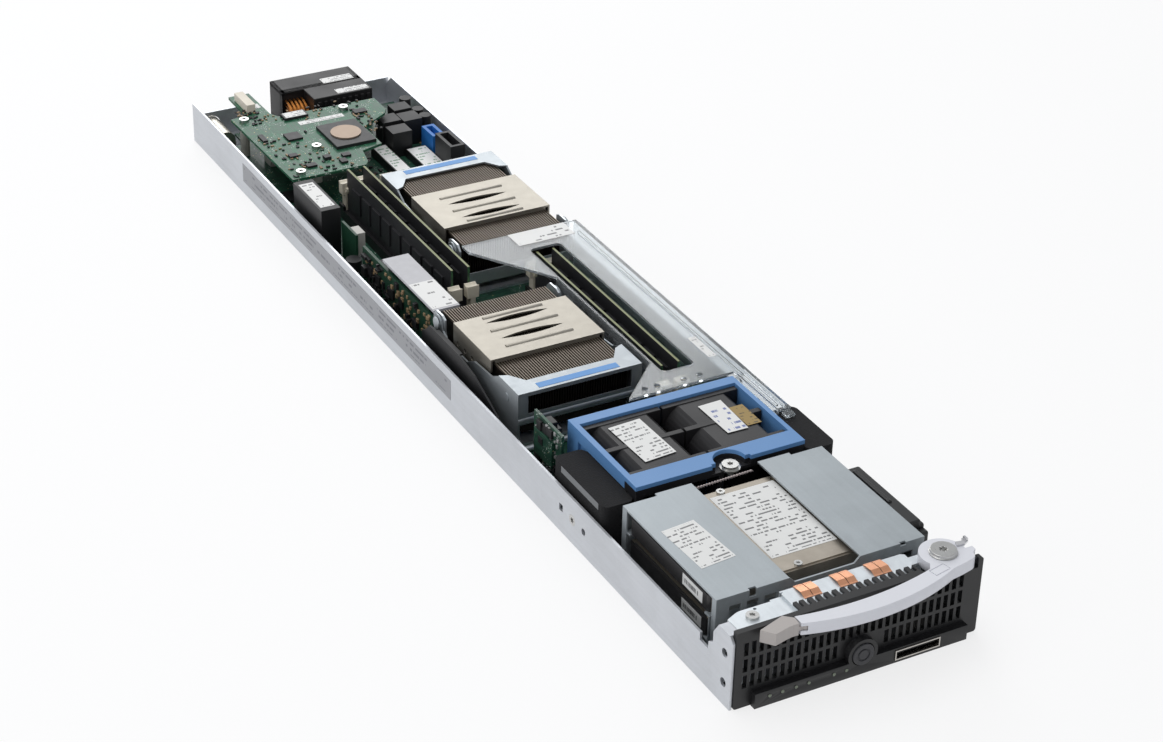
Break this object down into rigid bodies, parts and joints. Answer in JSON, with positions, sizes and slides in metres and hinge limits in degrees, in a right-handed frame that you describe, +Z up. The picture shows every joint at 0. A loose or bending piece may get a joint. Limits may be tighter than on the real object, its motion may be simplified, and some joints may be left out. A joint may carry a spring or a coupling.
{
  "type": "server blade",
  "caption": "Half-height server blade without its lid: slotted bezel with an ejector lever, drive cage, twin fan unit, two clamped heatsinks, memory, mezzanine card in a sheet tray",
  "frame": {"origin": "under the middle of the whole blade, on the surface it stands on", "axes": "+X right as seen from the front, +Y towards the rear connector, +Z up"},
  "size_m": [0.1294, 0.639, 0.0442],
  "materials": {
    "zinc": "zinc-plated sheet steel, satin with a faint spangle",
    "cage_zinc": "grey zinc-plated sheet steel, matt",
    "black_plastic": "black moulded plastic, matt",
    "dark_plastic": "dark grey moulded plastic",
    "lever_grey": "light grey paint, satin",
    "tip_beige": "warm grey moulded plastic",
    "copper": "bright copper alloy spring strip",
    "steel": "bright steel",
    "board_green": "dark green circuit board",
    "mezz_green": "green circuit board, satin",
    "fan_blue": "light blue moulded plastic",
    "nickel": "bare drive casting and lid, satin",
    "fin_bronze": "dark bronze fins",
    "champagne": "spring steel, warm silver",
    "ivory": "ivory moulded plastic",
    "clear": "clear thermoformed plastic",
    "foam": "black foam",
    "light_pipe": "translucent light pipe",
    "processor": "nickel-plated lid"
  },
  "bodies": {
    "blade": {"base_tray": "zinc", "small_screws": "steel", "front_bracket": "zinc", "front_bezel": "black_plastic", "emi_fingers": "copper", "lever_pivot_screw": "steel", "io_connector_shell": "steel", "io_connector_core": "black_plastic", "status_light_pipes": "light_pipe", "main_board": "board_green", "board_chips": "black_plastic", "board_power_parts": "dark_plastic", "board_connectors": "black_plastic", "board_standoffs": "steel", "drive_cage": "cage_zinc", "upper_drive": "nickel", "lower_drive": "nickel", "drive_connector_block": "black_plastic", "fan_frame": "fan_blue", "fan_housing_left": "black_plastic", "fan_housing_right": "black_plastic", "fan_isolator_left": "foam", "fan_isolator_right": "foam", "fan_captive_screw": "steel", "front_processor": "processor", "front_socket_frame": "zinc", "front_heatsink": "fin_bronze", "front_clamp_plate": "champagne", "rear_processor": "processor", "rear_socket_frame": "zinc", "rear_heatsink": "fin_bronze", "rear_clamp_plate": "champagne", "memory_sockets": "black_plastic", "memory_modules": "board_green", "air_baffle": "clear", "air_duct_plate": "dark_plastic", "mezzanine_board": "mezz_green", "mezzanine_parts": "black_plastic", "power_modules": "dark_plastic", "riser_card": "board_green", "rear_connector": "black_plastic", "guide_bush": "steel"},
    "lever": {"ejector_lever": "lever_grey", "lever_hook": "zinc"},
    "release_tip": {"lever_release_tip": "tip_beige"},
    "power_button": {"power_button": "dark_plastic"},
    "front_bail": {"front_clamp_bail": "zinc"},
    "rear_bail": {"rear_clamp_bail": "zinc"},
    "rotor_left_front": {"fan_rotor_left_front": "dark_plastic"},
    "rotor_left_rear": {"fan_rotor_left_rear": "dark_plastic"},
    "rotor_right_front": {"fan_rotor_right_front": "dark_plastic"},
    "rotor_right_rear": {"fan_rotor_right_rear": "dark_plastic"},
    "memory_latch_1_front": {"latch_1_front": "ivory"},
    "memory_latch_1_rear": {"latch_1_rear": "ivory"},
    "memory_latch_2_front": {"latch_2_front": "ivory"},
    "memory_latch_2_rear": {"latch_2_rear": "ivory"},
    "memory_latch_3_front": {"latch_3_front": "ivory"},
    "memory_latch_3_rear": {"latch_3_rear": "ivory"},
    "memory_latch_4_front": {"latch_4_front": "ivory"},
    "memory_latch_4_rear": {"latch_4_rear": "ivory"}
  },
  "joints": [
    {"name": "lever_hinge", "type": "hinge", "parent": "blade", "child": "lever", "pos_m": [0.0485, -0.2978, 0.04], "axis": [0, 0, 1], "range_deg": [0, 80]},
    {"name": "release_tip_hinge", "type": "hinge", "parent": "lever", "child": "release_tip", "pos_m": [-0.033, -0.312, 0.0392], "axis": [0, 0, 1], "range_deg": [0, 12], "stiffness_Nm_per_rad": 0.02},
    {"name": "power_button_slide", "type": "slide", "parent": "blade", "child": "power_button", "axis": [0, 1, 0], "range_m": [0, 0.0015], "stiffness_N_per_m": 400},
    {"name": "front_bail_hinge", "type": "hinge", "parent": "blade", "child": "front_bail", "pos_m": [-0.0204, 0.0002, 0.033], "axis": [-1, 0, 0], "range_deg": [0, 80]},
    {"name": "rear_bail_hinge", "type": "hinge", "parent": "blade", "child": "rear_bail", "pos_m": [0.0206, 0.0672, 0.033], "axis": [1, 0, 0], "range_deg": [0, 80]},
    {"name": "rotor_left_front_spin", "type": "hinge", "parent": "blade", "child": "rotor_left_front", "pos_m": [-0.0208, -0.1669, 0.0204], "axis": [0, 1, 0], "continuous": true},
    {"name": "rotor_left_rear_spin", "type": "hinge", "parent": "blade", "child": "rotor_left_rear", "pos_m": [-0.0208, -0.1399, 0.0204], "axis": [0, 1, 0], "continuous": true},
    {"name": "rotor_right_front_spin", "type": "hinge", "parent": "blade", "child": "rotor_right_front", "pos_m": [0.0224, -0.1669, 0.0204], "axis": [0, 1, 0], "continuous": true},
    {"name": "rotor_right_rear_spin", "type": "hinge", "parent": "blade", "child": "rotor_right_rear", "pos_m": [0.0224, -0.1399, 0.0204], "axis": [0, 1, 0], "continuous": true},
    {"name": "memory_latch_1_front_hinge", "type": "hinge", "parent": "blade", "child": "memory_latch_1_front", "pos_m": [-0.0279, 0.03513, 0.011], "axis": [1, 0, 0], "range_deg": [0, 30]},
    {"name": "memory_latch_1_rear_hinge", "type": "hinge", "parent": "blade", "child": "memory_latch_1_rear", "pos_m": [-0.0279, 0.17527, 0.011], "axis": [-1, 0, 0], "range_deg": [0, 30]},
    {"name": "memory_latch_2_front_hinge", "type": "hinge", "parent": "blade", "child": "memory_latch_2_front", "pos_m": [-0.0181, 0.03513, 0.011], "axis": [1, 0, 0], "range_deg": [0, 30]},
    {"name": "memory_latch_2_rear_hinge", "type": "hinge", "parent": "blade", "child": "memory_latch_2_rear", "pos_m": [-0.0181, 0.17527, 0.011], "axis": [-1, 0, 0], "range_deg": [0, 30]},
    {"name": "memory_latch_3_front_hinge", "type": "hinge", "parent": "blade", "child": "memory_latch_3_front", "pos_m": [0.022, -0.09928, 0.011], "axis": [1, 0, 0], "range_deg": [0, 30]},
    {"name": "memory_latch_3_rear_hinge", "type": "hinge", "parent": "blade", "child": "memory_latch_3_rear", "pos_m": [0.022, 0.04088, 0.011], "axis": [-1, 0, 0], "range_deg": [0, 30]},
    {"name": "memory_latch_4_front_hinge", "type": "hinge", "parent": "blade", "child": "memory_latch_4_front", "pos_m": [0.0318, -0.09928, 0.011], "axis": [1, 0, 0], "range_deg": [0, 30]},
    {"name": "memory_latch_4_rear_hinge", "type": "hinge", "parent": "blade", "child": "memory_latch_4_rear", "pos_m": [0.0318, 0.04088, 0.011], "axis": [-1, 0, 0], "range_deg": [0, 30]}
  ]
}
